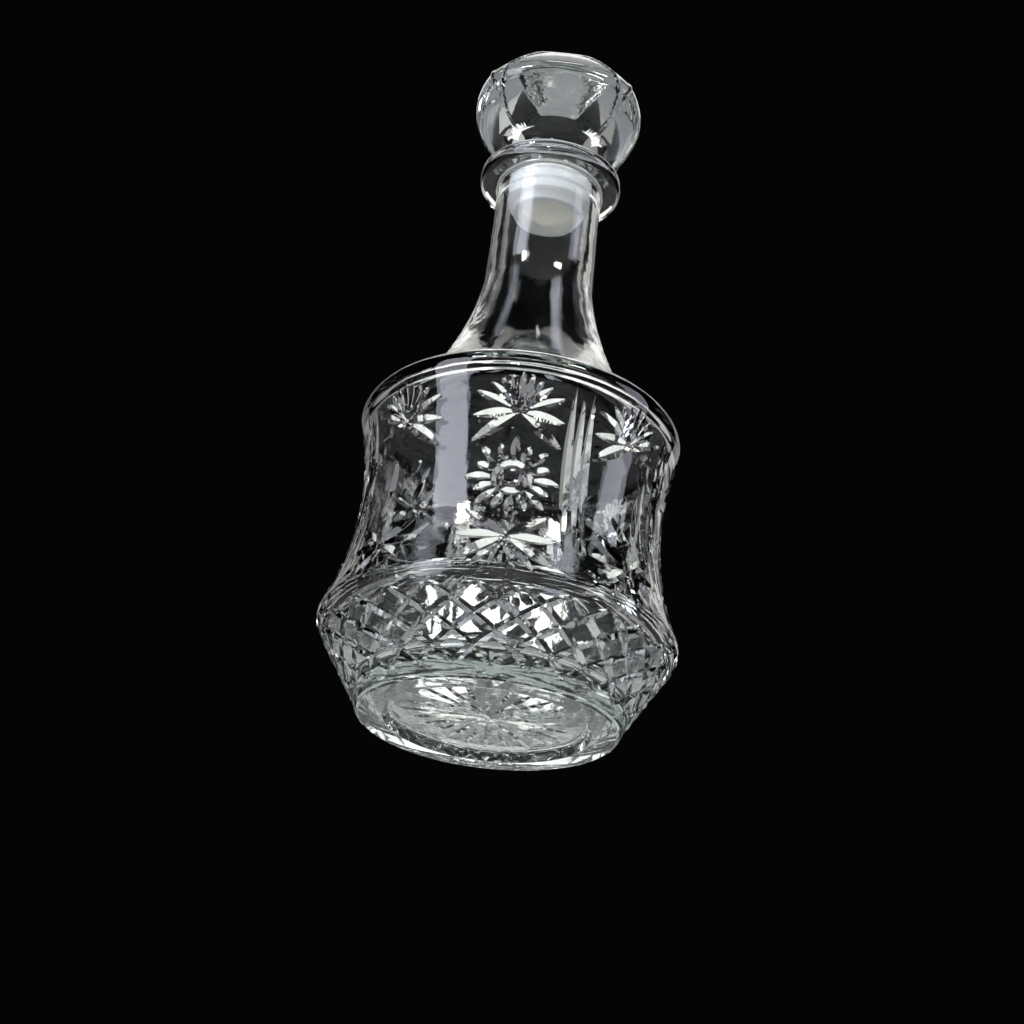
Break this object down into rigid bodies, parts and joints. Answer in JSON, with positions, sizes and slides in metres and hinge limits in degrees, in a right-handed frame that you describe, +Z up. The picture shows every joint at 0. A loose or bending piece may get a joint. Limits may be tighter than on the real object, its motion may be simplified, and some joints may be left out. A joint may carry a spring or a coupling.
{
  "type": "decanter",
  "caption": "Waisted pressed-glass decanter with star and diamond cuts, a ring lip and a scalloped ball stopper in a ribbed plastic sleeve.",
  "frame": {"origin": "centre of the resting plane under the foot ring", "axes": "+Z up through the neck and stopper; the front panel's centre faces -Y"},
  "size_m": [0.1154, 0.1154, 0.2554],
  "materials": {
    "clear_glass": "clear polished pressed glass, faint grey-green in thick edges",
    "stopper_glass": "clear polished pressed glass",
    "sleeve_plastic": "translucent milky white polyethylene, satin"
  },
  "bodies": {
    "decanter": {"decanter_body": "clear_glass"},
    "stopper": {"stopper_sleeve": "sleeve_plastic"},
    "stopper_ball": {"stopper_head": "stopper_glass"}
  },
  "joints": [
    {"name": "stopper_lift", "type": "slide", "parent": "decanter", "child": "stopper", "axis": [0, 0, 1], "range_m": [0, 0.03]},
    {"name": "stopper_turn", "type": "hinge", "parent": "stopper", "child": "stopper_ball", "pos_m": [0, 0, 0.2099], "axis": [0, 0, 1], "continuous": true}
  ]
}
